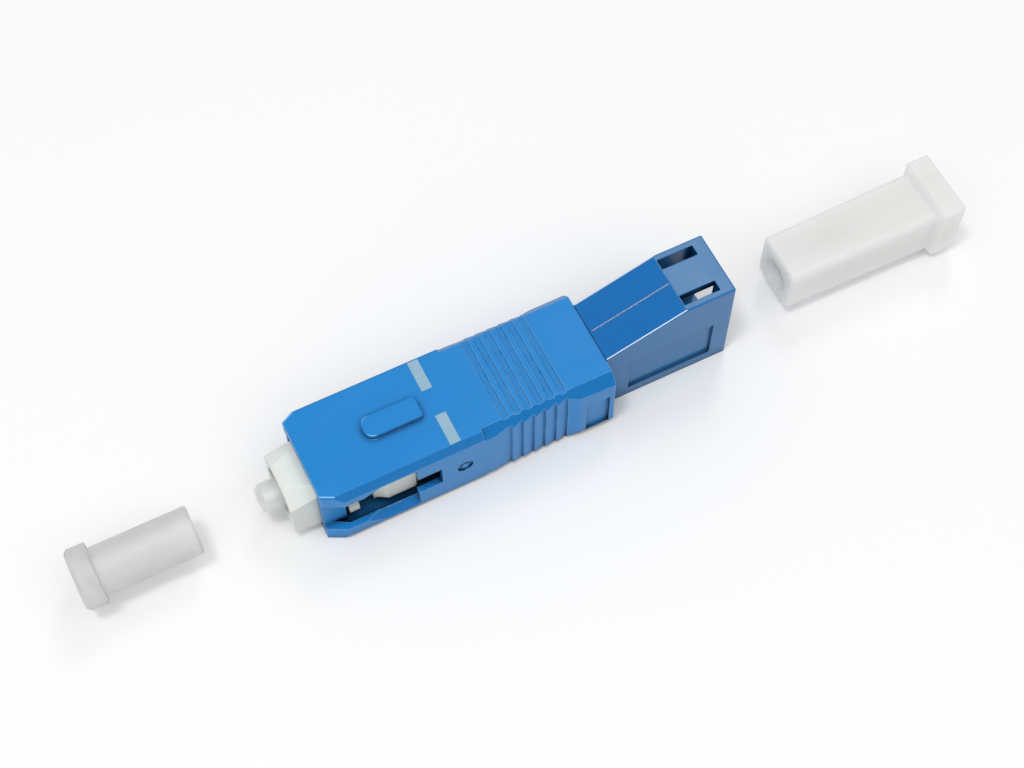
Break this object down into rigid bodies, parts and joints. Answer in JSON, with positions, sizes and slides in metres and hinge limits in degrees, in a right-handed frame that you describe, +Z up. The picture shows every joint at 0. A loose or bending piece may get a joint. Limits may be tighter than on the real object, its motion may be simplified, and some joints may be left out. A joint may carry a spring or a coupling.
{
  "type": "fibre optic adapter",
  "caption": "Hybrid fibre optic adapter: a push-pull plug with a bare ferrule on one end, a small latching port on the other, and its two dust covers taken off in line.",
  "frame": {"origin": "centre of the bare ferrule's tip, on the light path", "axes": "+X runs along the light path from the bare ferrule into the port, +Z is up with the polarity key on top, +Y to the left"},
  "size_m": [0.0781, 0.0092, 0.0099],
  "materials": {
    "blue_shell": "satin",
    "blue_port": "satin",
    "white_frame": "satin",
    "white_ceramic": "polished",
    "plated_metal": "turned",
    "fibre_glass": "clear",
    "spring_steel": "drawn",
    "clear_cap": "frosted",
    "milky_plug": "milky"
  },
  "bodies": {
    "adapter_body": {"plug_frame": "white_frame", "port_housing": "blue_port", "sleeve_holder": "blue_port", "split_sleeve": "white_ceramic", "ferrule_spring": "spring_steel"},
    "push_pull_housing": {"outer_housing": "blue_shell"},
    "ferrule_group": {"ferrule": "white_ceramic", "ferrule_holder": "plated_metal", "inner_ferrule": "white_ceramic", "glass_fibre": "fibre_glass"},
    "front_cap": {"ferrule_cap": "clear_cap"},
    "rear_plug": {"port_plug": "milky_plug"}
  },
  "joints": [
    {"name": "housing_slide", "type": "slide", "parent": "adapter_body", "child": "push_pull_housing", "axis": [-1, 0, 0], "range_m": [0, 0.0016]},
    {"name": "ferrule_slide", "type": "slide", "parent": "adapter_body", "child": "ferrule_group", "axis": [1, 0, 0], "range_m": [0, 0.001], "stiffness_N_per_m": 500, "springref_m": -0.01, "deforming": ["ferrule_spring"]},
    {"name": "cap_slide", "type": "slide", "parent": "adapter_body", "child": "front_cap", "axis": [1, 0, 0], "range_m": [0, 0.0132]},
    {"name": "plug_slide", "type": "slide", "parent": "adapter_body", "child": "rear_plug", "axis": [-1, 0, 0], "range_m": [0, 0.012]}
  ]
}
